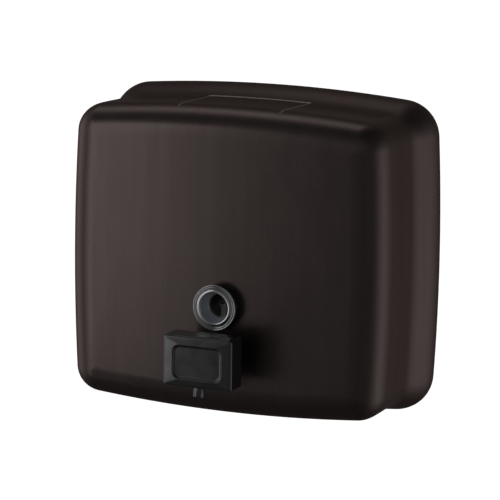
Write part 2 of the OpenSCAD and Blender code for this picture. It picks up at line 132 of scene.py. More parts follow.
# ---------------------------------------------------------------- materials
class Nodes:
    """A small helper around one material's node tree."""

    def __init__(self, name):
        self.material = bpy.data.materials.new(name)
        self.material.use_nodes = True
        self.tree = self.material.node_tree
        self.shader = self.tree.nodes["Principled BSDF"]
        self.coords = self.tree.nodes.new("ShaderNodeTexCoord").outputs["Object"]

    def add(self, kind, **values):
        node = self.tree.nodes.new(kind)
        for key, value in values.items():
            setattr(node, key, value)
        return node

    def link(self, a, b):
        self.tree.links.new(a, b)

    def stretched(self, scale):
        node = self.add("ShaderNodeMapping")
        node.inputs["Scale"].default_value = scale
        self.link(self.coords, node.inputs["Vector"])
        return node.outputs["Vector"]

    def noise(self, scale, detail=4.0, stretch=(1, 1, 1), rough=0.55):
        node = self.add("ShaderNodeTexNoise")
        node.inputs["Scale"].default_value = scale
        node.inputs["Detail"].default_value = detail
        node.inputs["Roughness"].default_value = rough
        self.link(self.stretched(stretch), node.inputs["Vector"])
        return node.outputs["Fac"]

    def ramp(self, value, stops):
        node = self.add("ShaderNodeValToRGB")
        points = node.color_ramp.elements
        while len(points) < len(stops):
            points.new(0.5)
        for point, (place, colour) in zip(points, stops):
            point.position = place
            point.color = (*colour, 1)
        self.link(value, node.inputs["Fac"])
        return node.outputs["Color"]

    def spread(self, value, low, high):
        node = self.add("ShaderNodeMapRange")
        node.inputs["From Min"].default_value = 0.3
        node.inputs["From Max"].default_value = 0.7
        node.inputs["To Min"].default_value = low
        node.inputs["To Max"].default_value = high
        self.link(value, node.inputs["Value"])
        return node.outputs["Result"]

    def bump(self, height, strength, distance):
        node = self.add("ShaderNodeBump")
        node.inputs["Strength"].default_value = strength
        node.inputs["Distance"].default_value = distance
        self.link(height, node.inputs["Height"])
        self.link(node.outputs["Normal"], self.shader.inputs["Normal"])

    def set(self, **values):
        for key, value in values.items():
            self.shader.inputs[key.replace("_", " ")].default_value = value

    def colour(self, output):
        self.link(output, self.shader.inputs["Base Color"])

    def roughness(self, output):
        self.link(output, self.shader.inputs["Roughness"])


def shade(colour, factor):
    return tuple(c * factor for c in colour)


def bronze(name, base, metallic, rough, rough_spread):
    """Dark bronze coating: faint mottling and bump, both drawn out into a vertical grain."""
    m = Nodes(name)
    cloud = m.noise(170, 6, (1, 1, 0.05), 0.7)
    m.colour(m.ramp(cloud, [(0.3, shade(base, 0.93)), (0.5, base), (0.7, shade(base, 1.07))]))
    m.roughness(m.spread(m.noise(60, 4, (1, 1, 0.4)), rough - rough_spread, rough + rough_spread))
    m.bump(m.noise(420, 2, (1, 1, 0.05)), 0.03, 0.0002)
    m.set(Metallic=metallic, Specular_Tint=(0.80, 0.65, 0.62, 1.0))
    return m.material


def steel(name, base, rough, grain):
    """Brushed sheet: fine lines along X, cloudy roughness."""
    m = Nodes(name)
    lines = m.noise(grain, 3, (0.04, 1, 1))
    m.colour(m.ramp(lines, [(0.3, shade(base, 0.86)), (0.7, shade(base, 1.08))]))
    m.roughness(m.spread(m.noise(60, 4), rough - 0.06, rough + 0.08))
    m.bump(lines, 0.15, 0.0001)
    m.set(Metallic=1.0)
    return m.material


def plastic(name, base, rough, ior=1.5):
    """Moulded plastic: slight colour clouds and a fine moulded texture."""
    m = Nodes(name)
    m.colour(m.ramp(m.noise(70, 4), [(0.3, shade(base, 0.85)), (0.7, shade(base, 1.15))]))
    m.roughness(m.spread(m.noise(160, 4), rough * 0.75, rough * 1.3))
    m.bump(m.noise(900, 2), 0.05, 0.0001)
    m.set(Metallic=0.0, IOR=ior)
    return m.material


def rubber(name, base):
    m = Nodes(name)
    m.colour(m.ramp(m.noise(220, 4), [(0.3, shade(base, 0.8)), (0.7, shade(base, 1.3))]))
    m.roughness(m.spread(m.noise(300, 3), 0.5, 0.7))
    m.bump(m.noise(1200, 3), 0.2, 0.0001)
    return m.material


def clear(name, base):
    """Clear acrylic with a trace of haze."""
    m = Nodes(name)
    m.colour(m.ramp(m.noise(120, 3), [(0.3, shade(base, 0.97)), (0.7, base)]))
    m.roughness(m.spread(m.noise(200, 3), 0.01, 0.05))
    m.bump(m.noise(260, 2), 0.02, 0.0001)
    m.set(Transmission_Weight=1.0, IOR=1.49)
    return m.material


def painted_reflection_acrylic(name, base, rough, metallic):
    """Acrylic drawn as an opaque, partly metallic surface whose bright, silvery colour is a painted
    reflection of light turned back inside the clear plastic.
    """
    m = Nodes(name)
    m.colour(m.ramp(m.noise(160, 3), [(0.3, shade(base, 0.92)), (0.7, shade(base, 1.05))]))
    m.roughness(m.spread(m.noise(240, 3), rough * 0.85, rough * 1.15))
    m.bump(m.noise(700, 2), 0.04, 0.0001)
    m.set(Metallic=metallic)
    return m.material


BRONZE = bronze("bronze", (0.20, 0.158, 0.150), 0.92, 0.27, 0.02)
# Lighter bronze for the rounded edges and the lid's side and rear seams: a painted highlight along them
BRONZE_EDGE_HIGHLIGHT = bronze("bronze_painted_edge_highlight", (0.85, 0.77, 0.74), 0.9, 0.55, 0.04)
STEEL = steel("brushed_steel", (0.50, 0.50, 0.51), 0.32, 900)
SPRING = steel("spring_steel", (0.60, 0.60, 0.60), 0.16, 400)
BRASS = steel("turned_brass", (0.62, 0.45, 0.20), 0.28, 700)
BLACK = plastic("black_plastic", (0.018, 0.020, 0.019), 0.20, ior=2.5)
WHITE = plastic("white_plastic", (0.70, 0.70, 0.67), 0.38)
RUBBER = rubber("rubber", (0.022, 0.022, 0.022))
CLEAR = clear("clear_acrylic", (0.92, 0.95, 0.96))
# Grey tint in the clear web so the dispenser's inside reads dark through it: painted shade
WEB_PAINTED_SHADE = clear("acrylic_web_painted_shade", (0.40, 0.42, 0.45))
# Flange, lip and well walls of the window: bright metallic and pale colours as painted reflection of light
# inside the clear acrylic
CLEAR_RIM = painted_reflection_acrylic("acrylic_rim", (0.45, 0.46, 0.47), 0.14, 0.75)
CLEAR_LIP = painted_reflection_acrylic("acrylic_lip", (0.97, 0.98, 0.99), 0.12, 0.95)
CLEAR_WALL = painted_reflection_acrylic("acrylic_wall", (0.86, 0.90, 0.97), 0.30, 0.25)
SLOT_MATERIALS = {
    "bronze": BRONZE, "steel": STEEL, "spring_steel": SPRING, "brass": BRASS,
    "black_plastic": BLACK, "white_plastic": WHITE, "rubber": RUBBER, "clear": CLEAR,
}


def dress_cad_nodes():
    slots = {s["node"]: s["material_slot"] for s in frame["record"]["subparts"]}
    for name, obj in frame["nodes"].items():
        obj.data.materials.clear()
        obj.data.materials.append(SLOT_MATERIALS[slots[name]])


dress_cad_nodes()


# ---------------------------------------------------------------- mesh helpers
def new_piece(name, mesh_builder, body, materials, replaced=(), bevel=0.0):
    """Makes one object from a bmesh in millimetres, smooth shaded, riding on a body."""
    bm = bmesh.new()
    mesh_builder(bm)
    bmesh.ops.scale(bm, vec=(MM, MM, MM), verts=bm.verts)
    bmesh.ops.recalc_face_normals(bm, faces=bm.faces)
    mesh = bpy.data.meshes.new(name)
    bm.to_mesh(mesh)
    bm.free()
    mesh.polygons.foreach_set("use_smooth", [True] * len(mesh.polygons))
    for material in materials:
        mesh.materials.append(material)
    obj = bpy.data.objects.new(name, mesh)
    bpy.context.scene.collection.objects.link(obj)
    if bevel:
        cut = obj.modifiers.new("edge", "BEVEL")
        cut.width = bevel * MM
        cut.segments = 2
        cut.limit_method = "ANGLE"
        cut.angle_limit = math.radians(35)
        cut.harden_normals = True
    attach(obj, body)
    if replaced:
        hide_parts(*replaced)
    return obj


def soften(mesh, width, chosen):
    """Rounds a mesh's sharp edges with the second material, the lighter edge bronze that paints a highlight
    along them; chosen(a, b) says which, by their ends in mm.
    """
    bm = bmesh.new()
    bm.from_mesh(mesh)
    cut = []
    # An edge whose faces all lie in one plane across Y is a sliver of the flat front, and isn't rounded
    for edge in bm.edges:
        depths = [v.co.y for face in edge.link_faces for v in face.verts]
        if len(edge.link_faces) != 2 or max(depths) - min(depths) < 1e-6:
            continue
        if edge.calc_face_angle() > math.radians(40):
            edge.smooth = False
            if chosen(edge.verts[0].co / MM, edge.verts[1].co / MM):
                cut.append(edge)
    bmesh.ops.bevel(bm, geom=cut, offset=width * MM, segments=2, profile=0.5, affect="EDGES", material=1,
                    clamp_overlap=True)
    bm.to_mesh(mesh)
    bm.free()


def even_normals(obj, weight, keep_sharp=True):
    even = obj.modifiers.new("normals", "WEIGHTED_NORMAL")
    even.weight = weight
    even.keep_sharp = keep_sharp


def lathe(bm, profile, z, steps=96, closed=False):
    """Turns [(radius, y)] points about the Y axis at height z. Points of radius 0 become one vertex.
    A third value in a point is the material index of the faces that follow it."""
    rings = []
    for radius, y, *_ in profile:
        if radius < 1e-6:
            rings.append([bm.verts.new((0, y, z))])
        else:
            rings.append([bm.verts.new((radius * math.cos(2 * math.pi * i / steps), y,
                                        z + radius * math.sin(2 * math.pi * i / steps)))
                          for i in range(steps)])
    pairs = list(zip(rings, rings[1:]))
    if closed:
        pairs.append((rings[-1], rings[0]))
    for (a, b), point in zip(pairs, profile):
        for i in range(steps):
            j = (i + 1) % steps
            if len(a) == 1:
                face = bm.faces.new((a[0], b[i], b[j]))
            elif len(b) == 1:
                face = bm.faces.new((a[i], a[j], b[0]))
            else:
                face = bm.faces.new((a[i], a[j], b[j], b[i]))
            face.material_index = point[2] if len(point) > 2 else 0


def loft(bm, loops):
    """Joins closed loops of the same length, front to back, and closes both ends."""
    rows = [[bm.verts.new(p) for p in loop] for loop in loops]
    count = len(rows[0])
    for a, b in zip(rows, rows[1:]):
        for i in range(count):
            j = (i + 1) % count
            bm.faces.new((a[i], a[j], b[j], b[i]))
    bm.faces.new(rows[0])
    bm.faces.new(reversed(rows[-1]))


def rounded_loop(width, height, radius, y, z, corner_steps=8):
    """A rounded rectangle in the plane at y, centred on X = 0 and height z."""
    points = []
    for k, (sx, sz) in enumerate(((1, 1), (-1, 1), (-1, -1), (1, -1))):
        cx, cz = sx * (width / 2 - radius), z + sz * (height / 2 - radius)
        for i in range(corner_steps + 1):
            a = math.pi / 2 * (k + i / corner_steps)
            points.append((cx + radius * math.cos(a), y, cz + radius * math.sin(a)))
    return points


# ---------------------------------------------------------------- shell surface
def rounding():
    """The front rounding as (y, run, turn) from the flat face to the rim. Its curvature swells and fades
    like a pressed sheet's, and it stays as far from the sharp corner as an arc of FRONT_ROUND."""
    steps, swell = 600, 0.4
    points = [(0.0, 0.0, 0.0)]
    for k in range(1, steps + 1):
        u = (k - 0.5) / steps
        turn = math.pi / 2 * (u - swell * math.sin(2 * math.pi * u) / (2 * math.pi))
        y, run, _ = points[-1]
        points.append((y + math.sin(turn) / steps, run + math.cos(turn) / steps, turn))
    reach = points[-1][1]
    gap = math.hypot(points[steps // 2][0], reach - points[steps // 2][1])
    size = FRONT_ROUND * (math.sqrt(2) - 1) / gap
    return [(y * size, run * size, turn) for y, run, turn in points]


ROUNDING = rounding()
ROUND_REACH = ROUNDING[-1][1]
RIM_Y = FRONT_Y + ROUND_REACH
SMALLEST_CORNER = 0.6


def corner_centre():
    c1, c2 = Vector((RIM_A - SIDE_BOW_R, 0)), Vector((0, RIM_B - TOP_BOW_R))
    d1, d2 = SIDE_BOW_R - CORNER_R, TOP_BOW_R - CORNER_R
    gap = (c2 - c1).length
    u = (c2 - c1) / gap
    t = (d1 * d1 - d2 * d2 + gap * gap) / (2 * gap)
    return c1 + u * t + Vector((-u.y, u.x)) * math.sqrt(d1 * d1 - t * t)


def arc(centre, radius, start, end, steps, last=False):
    count = steps + 1 if last else steps
    return [centre + radius * Vector((math.cos(start + (end - start) * i / steps),
                                      math.sin(start + (end - start) * i / steps)))
            for i in range(count)]


SIDE_STEPS, CORNER_STEPS, TOP_STEPS, OPENING_STEPS = 14, 20, 12, 10


def outline(d):
    """The shell's outline, offset inward by d: four equal quarters of side, corner and top arcs."""
    if d > CORNER_R - SMALLEST_CORNER:
        rim = outline(CORNER_R - SMALLEST_CORNER)
        shrink = (RIM_B - d) / (RIM_B - CORNER_R + SMALLEST_CORNER)
        return [p * shrink for p in rim]
    c1, c2, f = Vector((RIM_A - SIDE_BOW_R, 0)), Vector((0, RIM_B - TOP_BOW_R)), corner_centre()
    a1 = math.atan2(f.y - c1.y, f.x - c1.x)
    a2 = math.atan2(f.y - c2.y, f.x - c2.x)
    a3 = math.acos(OPENING_HALF / TOP_BOW_R)
    quarter = (arc(c1, SIDE_BOW_R - d, 0, a1, SIDE_STEPS)
               + arc(f, CORNER_R - d, a1, a2, CORNER_STEPS)
               + arc(c2, TOP_BOW_R - d, a2, a3, TOP_STEPS)
               + arc(c2, TOP_BOW_R - d, a3, math.pi / 2, OPENING_STEPS, last=True))
    n = len(quarter)
    return (quarter
            + [Vector((-quarter[i].x, quarter[i].y)) for i in range(n - 2, -1, -1)]
            + [Vector((-quarter[i].x, -quarter[i].y)) for i in range(1, n)]
            + [Vector((quarter[i].x, -quarter[i].y)) for i in range(n - 2, 0, -1)])


def wave(y0, y1, d0, d1, s, turn):
    """One station of a cosine run of the profile: (y, d, inward normal in y, inward normal in d)."""
    share = 0.5 if turn == math.pi else 1.0
    slope = (d1 - d0) * share * turn * math.sin(turn * s) / (y1 - y0)
    n = math.hypot(slope, 1)
    return (y0 + (y1 - y0) * s, d0 + (d1 - d0) * share * (1 - math.cos(turn * s)), -slope / n, 1 / n)


def station(y):
    """The shell's profile at distance y from the wall plane, behind the rim."""
    if y <= WAIST_Y:
        return wave(RIM_Y, WAIST_Y, 0, WAIST_DIP, (y - RIM_Y) / (WAIST_Y - RIM_Y), math.pi)
    if y <= RIDGE_Y:
        return wave(WAIST_Y, RIDGE_Y, WAIST_DIP, -RIDGE_STEP, (y - WAIST_Y) / (RIDGE_Y - WAIST_Y), math.pi)
    return wave(RIDGE_Y, 0, -RIDGE_STEP, WALL_TUCK, (y - RIDGE_Y) / -RIDGE_Y, math.pi / 2)


def round_station(u):
    """The profile on the front rounding: u is 0 at the flat face and 1 at the rim."""
    place = u * (len(ROUNDING) - 1)
    i = min(int(place), len(ROUNDING) - 2)
    y, run, turn = (a + (b - a) * (place - i) for a, b in zip(ROUNDING[i], ROUNDING[i + 1]))
    return (FRONT_Y + y, ROUND_REACH - run, math.cos(turn), math.sin(turn))


def round_share(y):
    """Where on the front rounding the profile passes y."""
    low, high = 0.0, 1.0
    for _ in range(50):
        middle = (low + high) / 2
        low, high = (middle, high) if round_station(middle)[0] < y else (low, middle)
    return low


def spaced(start, end, steps):
    return [start + (end - start) * i / steps for i in range(steps)]


OPENING_FRONT = round_share(LID_FRONT_Y - FRONT_SEAM)


def profile():
    """All stations, front to back, with the filler opening's two edges among them."""
    turns = spaced(0, OPENING_FRONT, 20) + spaced(OPENING_FRONT, 1, 8)
    ys = (spaced(RIM_Y, WAIST_Y, 10) + spaced(WAIST_Y, REAR_EDGE_Y, 3)
          + spaced(REAR_EDGE_Y, RIDGE_Y, 14) + spaced(RIDGE_Y, 0, 16) + [0.0])
    return [round_station(t) for t in turns] + [station(y) for y in ys]


def moved(p, depth):
    return (min(p[0] + depth * p[2], 0.0), p[1] + depth * p[3])


def build_shell(bm):
    stations = profile()
    first_open = next(i for i, p in enumerate(stations) if abs(p[0] - (LID_FRONT_Y - FRONT_SEAM)) < 1e-6)
    last_open = next(i for i, p in enumerate(stations) if abs(p[0] - REAR_EDGE_Y) < 1e-6)
    count = len(outline(0))
    middle = count // 4
    open_columns = range(middle - OPENING_STEPS, middle + OPENING_STEPS)

    def rows(depth):
        made = []
        for p in stations:
            y, d = moved(p, depth)
            if depth and p is stations[-1]:
                y, d = 0.0, p[1] + BACK_EDGE_WIDTH
            made.append([bm.verts.new((q.x, y, q.y)) for q in outline(d)])
        return made

    outer, inner = rows(0), rows(SHEET)
    for skin in (outer, inner):
        for k, (a, b) in enumerate(zip(skin, skin[1:])):
            for i in range(count):
                if first_open <= k < last_open and i in open_columns:
                    continue
                j = (i + 1) % count
                bm.faces.new((a[i], a[j], b[j], b[i]))
    for i in range(count):
        j = (i + 1) % count
        bm.faces.new((outer[-1][i], outer[-1][j], inner[-1][j], inner[-1][i]))
    # Walls of the filler opening
    left, right = open_columns[-1] + 1, open_columns[0]
    for k in range(first_open, last_open):
        for i in (left, right):
            bm.faces.new((outer[k][i], outer[k + 1][i], inner[k + 1][i], inner[k][i]))
    for k in (first_open, last_open):
        for i in open_columns:
            bm.faces.new((outer[k][i], outer[k][i + 1], inner[k][i + 1], inner[k][i]))
    # Flat front face with the window's and the valve's holes
    walls = []
    for skin, y in ((outer, FRONT_Y), (inner, FRONT_Y + SHEET)):
        edges = [bm.edges.get((skin[0][i], skin[0][(i + 1) % count])) for i in range(count)]
        holes = []
        for radius, z in ((WINDOW_HOLE_R, WINDOW_Z), (VALVE_HOLE_R, VALVE_Z)):
            turns = [2 * math.pi * i / HOLE_STEPS for i in range(HOLE_STEPS)]
            ring = [bm.verts.new((radius * math.cos(a), y, z + radius * math.sin(a))) for a in turns]
            edges += [bm.edges.new((ring[i], ring[(i + 1) % HOLE_STEPS])) for i in range(HOLE_STEPS)]
            holes.append(ring)
        walls.append(holes)
        bmesh.ops.triangle_fill(bm, edges=edges, use_beauty=True)
    for a, b in zip(*walls):
        for i in range(HOLE_STEPS):
            j = (i + 1) % HOLE_STEPS
            bm.faces.new((a[i], a[j], b[j], b[i]))


def drill_access_hole(shell):
    """The screwdriver hole under the shell, below the locking screw."""
    lo, hi = size_mm("lock_screw")
    centre = (lo + hi) / 2
    bm = bmesh.new()
    radius, place = ACCESS_HOLE_R * MM, (0, centre.y * MM, (SHELL_LO.z + DRILL_UP) * MM)
    bmesh.ops.create_cone(bm, cap_ends=True, segments=64, radius1=radius, radius2=radius,
                          depth=DRILL_LEN * MM)
    bmesh.ops.translate(bm, vec=place, verts=bm.verts)
    mesh = bpy.data.meshes.new("drill")
    bm.to_mesh(mesh)
    bm.free()
    drill = bpy.data.objects.new("drill", mesh)
    bpy.context.scene.collection.objects.link(drill)
    cut = shell.modifiers.new("hole", "BOOLEAN")
    cut.operation = "DIFFERENCE"
    cut.solver = "EXACT"
    cut.object = drill
    bpy.context.view_layer.update()
    done = shell.evaluated_get(bpy.context.evaluated_depsgraph_get())
    made = bpy.data.meshes.new_from_object(done)
    shell.modifiers.remove(cut)
    shell.data = made
    bpy.data.objects.remove(drill)


def at_opening(a, b):
    """Whether an edge from a to b is on top, inside the filler opening's sides and rear edge."""
    inside = max(abs(a.x), abs(b.x)) < OPENING_HALF + 0.1
    return a.z > 60 and inside and max(a.y, b.y) < REAR_EDGE_Y + SEAM_SLACK


def at_light_seam(a, b):
    """The seams beside and behind the lid, which take the lighter edge bronze as a painted highlight; the
    front seam lies in the rounding and stays a fine line.
    """
    return at_opening(a, b) and max(a.y, b.y) > LID_FRONT_Y + SEAM_SLACK


def away_from_opening(a, b):
    return not at_opening(a, b)


def make_shell():
    shell = new_piece("shell_drawn", build_shell, "dispenser", [BRONZE, BRONZE_EDGE_HIGHLIGHT],
                      ["body_shell"])
    drill_access_hole(shell)
    # Rounded edges and the lid's side and rear seams take the lighter edge bronze, a painted highlight
    soften(shell.data, EDGE_BEVEL, away_from_opening)
    soften(shell.data, SEAM_BEVEL, at_light_seam)
    even_normals(shell, 100)


make_shell()


# ---------------------------------------------------------------- filler lid
def top_point(x, p, depth):
    """A point of the top surface at x, at profile station p, depth below the outer face."""
    y, d = moved(p, depth)
    return (x, y, RIM_B - TOP_BOW_R + math.sqrt((TOP_BOW_R - d) ** 2 - x * x))


def hinge_z():
    lo, hi = size_mm("hinge_pin")
    return (lo.z + hi.z) / 2


EAR_X, EAR_T, EAR_R, EAR_TOP, PIN_BORE_R = 21.5, 3.0, 2.2, 2.2, 1.05
TONGUE_HALF, TONGUE_DROP, TONGUE_INTO_LID = 7, 3.6, 0.2
TONGUE_FRONT_Y, TONGUE_REAR_Y = -70.9, -69.9


def block(bm, lo, hi):
    made = bmesh.ops.create_cube(bm, size=1)["verts"]
    lo, hi = Vector(lo), Vector(hi)
    bmesh.ops.scale(bm, vec=hi - lo, verts=made)
    bmesh.ops.translate(bm, vec=(lo + hi) / 2, verts=made)


def build_lid(bm):
    """The lid plate on the shell's own surface, a closed sheet with four edge walls. It is a little
    thinner than the shell, which keeps its underside clear of the filler frame at the front rounding."""
    stations = ([round_station(t) for t in spaced(round_share(LID_FRONT_Y), 1, 8)]
                + [station(y) for y in spaced(RIM_Y, WAIST_Y, 14)]
                + [station(y) for y in spaced(WAIST_Y, LID_REAR_Y, 3) + [LID_REAR_Y]])
    xs = spaced(-LID_HALF, LID_HALF, 24) + [LID_HALF]
    top, low = ([[bm.verts.new(top_point(x, p, depth)) for x in xs] for p in stations]
                for depth in (0, LID_SHEET))
    for skin in (top, low):
        for a, b in zip(skin, skin[1:]):
            for i in range(len(xs) - 1):
                bm.faces.new((a[i], a[i + 1], b[i + 1], b[i]))
    for k in (0, -1):
        for i in range(len(xs) - 1):
            bm.faces.new((top[k][i], top[k][i + 1], low[k][i + 1], low[k][i]))
    for i in (0, -1):
        for k in range(len(stations) - 1):
            bm.faces.new((top[k][i], top[k + 1][i], low[k + 1][i], low[k][i]))


def build_ear(x):
    """A hinge ear below the lid: a flat lug with a round end and the pin's bore."""
    def build(bm):
        z, top, steps = hinge_z(), hinge_z() + EAR_TOP, 48
        outer = []
        for i in range(steps):
            a = 2 * math.pi * i / steps
            y, up = EAR_R * math.cos(a), EAR_R * math.sin(a)
            if up > 0:
                stretch = min(EAR_R / max(abs(y), 1e-6), (top - z) / up)
                y, up = y * stretch, up * stretch
            outer.append((y, up))
        turns = [2 * math.pi * i / steps for i in range(steps)]
        bore = [(PIN_BORE_R * math.cos(a), PIN_BORE_R * math.sin(a)) for a in turns]
        rings = [[bm.verts.new((x + side * EAR_T / 2, HINGE_Y + y, z + up)) for y, up in ring]
                 for ring, side in ((bore, -1), (outer, -1), (outer, 1), (bore, 1))]
        for a, b in zip(rings, rings[1:] + rings[:1]):
            for i in range(steps):
                j = (i + 1) % steps
                bm.faces.new((a[i], a[j], b[j], b[i]))
    return build


def build_tongue(bm):
    """The strip below the lid's front that the catch spring holds when the lid is closed."""
    block(bm, (-TONGUE_HALF, TONGUE_FRONT_Y, hinge_z() - TONGUE_DROP),
          (TONGUE_HALF, TONGUE_REAR_Y, RIM_B - LID_SHEET + TONGUE_INTO_LID))


def make_lid():
    plate = new_piece("lid_plate", build_lid, "lid", [BRONZE, BRONZE_EDGE_HIGHLIGHT], ["filler_lid"])
    # The lid's side and rear edges take the lighter edge bronze, a painted highlight
    soften(plate.data, SEAM_BEVEL, at_light_seam)
    even_normals(plate, 100)
    for side, x in (("left", -EAR_X), ("right", EAR_X)):
        new_piece("lid_ear_" + side, build_ear(x), "lid", [BRONZE], bevel=0.2)
    new_piece("lid_tongue", build_tongue, "lid", [BRONZE], bevel=0.2)


make_lid()


# ---------------------------------------------------------------- sight window
# Window material indices: BEZEL, WALL and LIP carry the painted reflection of the acrylic, WEB the painted
# shade of the dispenser's inside
LENS, BEZEL, WALL, LIP, WEB = range(5)


def build_window(bm):
    """A clear plug: grooved flange and lip brightened by painted reflection, conical front well with pale
    painted walls, dark web, threaded shank and rear bore."""
    front = size_mm("sight_window")[0].y
    base, end = FRONT_Y - 1.0, front + 18
    rim, foot, shank, bore, floor = 11.3, 10.2, 9.5, 7.4, 6.1
    web, rear = front + 8.0, front + 10.0
    tilt, dip, lip, pitch = 0.15, 0.35, 7.8, 1.25
    points = [(0, web, WEB), (floor - 0.35, web, BEZEL), (floor, web - 0.3, WALL), (7.3, front + 1.6, WALL),
              (7.5, front + 0.6, LIP), (7.62, front + 0.15, LIP), (lip, front, LIP)]
    # Two grooves in the flange's face: where each starts, where its floor ends, where it's level again
    for r0, r1, r2 in ((9.15, 9.75, 9.9), (10.2, 10.6, 10.75)):
        y0, y1 = front + tilt * (r0 - lip), front + tilt * (r2 - lip)
        points += [(r0, y0, BEZEL), (r0 + 0.12, y0 + dip, BEZEL), (r1, y1 + dip, BEZEL), (r2, y1, LIP)]
    y = front + tilt * (rim - lip)
    points += [(rim - 0.12, y, LIP), (rim, y + 0.25, BEZEL), (rim, y + 0.6, LENS),
               (foot, base - 0.3, LENS), (foot - 0.2, base, LENS), (shank, base, LENS)]
    # The thread, as rings
    y = base + 1.0
    while y < end - 2:
        points += [(shank - 0.1, y), (shank - 0.6, y + 0.5), (shank - 0.1, y + 1.0)]
        y += pitch
    points += [(shank - 0.1, end - 0.8), (shank - 0.8, end), (bore, end)]
    points += [(bore, rear + 0.8), (bore - 0.2, rear + 0.3), (bore - 0.8, rear), (0, rear)]
    lathe(bm, points, WINDOW_Z, 160)


def build_ring(r_out, r_in, y0, y1, z, soft):
    def build(bm):
        lathe(bm, [(r_in, y0 + soft), (r_in + soft, y0), (r_out - soft, y0), (r_out, y0 + soft),
                   (r_out, y1 - soft), (r_out - soft, y1), (r_in + soft, y1), (r_in, y1 - soft)],
              z, 128, closed=True)
    return build


def make_window():
    materials = [CLEAR, CLEAR_RIM, CLEAR_WALL, CLEAR_LIP, WEB_PAINTED_SHADE]
    new_piece("window_lens", build_window, "dispenser", materials, ["sight_window"])
    new_piece("window_seal", build_ring(10.5, 9.7, FRONT_Y - 1, FRONT_Y, WINDOW_Z, 0.2), "dispenser",
              [RUBBER], ["window_gasket"])


make_window()


# ---------------------------------------------------------------- push button, spout and collar
BUTTON_CROWN = 0.7
BUTTON_CROWN_DEPTH = 6.0
BUTTON_HEIGHT = 25.6
BUTTON_EDGE_STEPS = 6
BOSS_R, BOSS_BORE_R = 5.6, 4.03
RIB_START, RIB_REACH_X, RIB_REACH_Z, RIB_HALF = 5.5, 16.6, 11.1, 0.6
RIB_SHORTER = 4.3


def build_button(bm):
    """The button's cap: a hollow box with rounded edges, a sunk panel and a slightly crowned front."""
    lo, hi = size_mm("push_button")
    width, height, z = hi.x - lo.x, hi.z - lo.z, (lo.z + hi.z) / 2
    front, rear = lo.y, hi.y
    soft, wall = 1.7, 1.8
    loops = []
    recess_w, recess_h, drop = 26.0, 16.8, 0.3
    depth, bevel, recess_r = 1.0, 0.9, 3.4
    # From the recess floor out over the front, round the edge and back to the rear rim
    loops.append(rounded_loop(recess_w - 2 * bevel - 1, recess_h - 2 * bevel - 1,
                              recess_r - bevel - 0.3, front + depth, z - drop))
    for s in (0.0, 0.15, 0.85, 1.0):
        grow = bevel * s
        loops.append(rounded_loop(recess_w - 2 * bevel + 2 * grow, recess_h - 2 * bevel + 2 * grow,
                                  recess_r - bevel + grow, front + depth * (1 - s), z - drop))
    loops.append(rounded_loop(recess_w + 0.5, recess_h + 0.5, recess_r + 0.25, front, z - drop))
    for i in range(BUTTON_EDGE_STEPS + 1):
        a = math.pi / 2 * i / BUTTON_EDGE_STEPS
        inset = 2 * soft * (1 - math.sin(a))
        loops.append(rounded_loop(width - inset, height - inset, max(soft * math.sin(a), 0.25) + 0.15,
                                  front + soft * (1 - math.cos(a)), z))
    loops.append(rounded_loop(width, height, soft + 0.15, rear - 0.4, z))
    loops.append(rounded_loop(width - 0.5, height - 0.5, soft, rear, z))
    loops.append(rounded_loop(width - 2 * wall, height - 2 * wall, 1.0, rear, z))
    loops.append(rounded_loop(width - 2 * wall, height - 2 * wall, 1.0, front + 2.6, z))
    loft(bm, loops)
    for vert in bm.verts:
        fade = max(0.0, 1 - (vert.co.y - front) / BUTTON_CROWN_DEPTH)
        vert.co.y += BUTTON_CROWN * fade * (2 * vert.co.x / width) ** 2


def build_button_inside(bm):
    """The boss around the plunger's stem, and the four ribs from it to the button's walls."""
    lo, hi = size_mm("push_button")
    z = (lo.z + hi.z) / 2
    front, rear = lo.y + 2.5, hi.y - 0.7
    lathe(bm, [(BOSS_BORE_R, front), (BOSS_R, front), (BOSS_R, rear - 0.3), (BOSS_R - 0.3, rear),
               (BOSS_BORE_R + 0.17, rear), (BOSS_BORE_R, rear - 0.2)], z, 64, closed=True)
    for sx, sz in ((1, 0), (-1, 0), (0, 1), (0, -1)):
        reach = RIB_REACH_X if sx else RIB_REACH_Z
        x0, x1 = sorted((sx * RIB_START, sx * reach)) if sx else (-RIB_HALF, RIB_HALF)
        z0, z1 = sorted((sz * RIB_START, sz * reach)) if sz else (-RIB_HALF, RIB_HALF)
        block(bm, (x0, front, z + z0), (x1, rear - RIB_SHORTER, z + z1))


SPOUT_LEAN = math.radians(12)
SPOUT_Y = -102.6
SPOUT_R = 2.75
SPOUT_BELOW_BUTTON = 4.7
SPOUT_LEN = (BUTTON_HEIGHT / 2 + SPOUT_BELOW_BUTTON) / math.cos(SPOUT_LEAN)


def lean_spout(bm, verts):
    """Turns what was built along -Z at the origin onto the spout's leaning axis."""
    bmesh.ops.rotate(bm, cent=(0, 0, 0), matrix=Matrix.Rotation(-SPOUT_LEAN, 3, "X"), verts=verts)
    bmesh.ops.translate(bm, vec=(0, SPOUT_Y, VALVE_Z), verts=verts)


def turned_down(bm, points, steps=64):
    """Turns [(radius, z)] points about the Z axis, closed on itself."""
    rings = [[bm.verts.new((r * math.cos(2 * math.pi * i / steps), r * math.sin(2 * math.pi * i / steps), z))
              for i in range(steps)] for r, z in points]
    for a, b in zip(rings, rings[1:] + rings[:1]):
        for i in range(steps):
            j = (i + 1) % steps
            bm.faces.new((a[i], a[j], b[j], b[i]))
    lean_spout(bm, [v for ring in rings for v in ring])


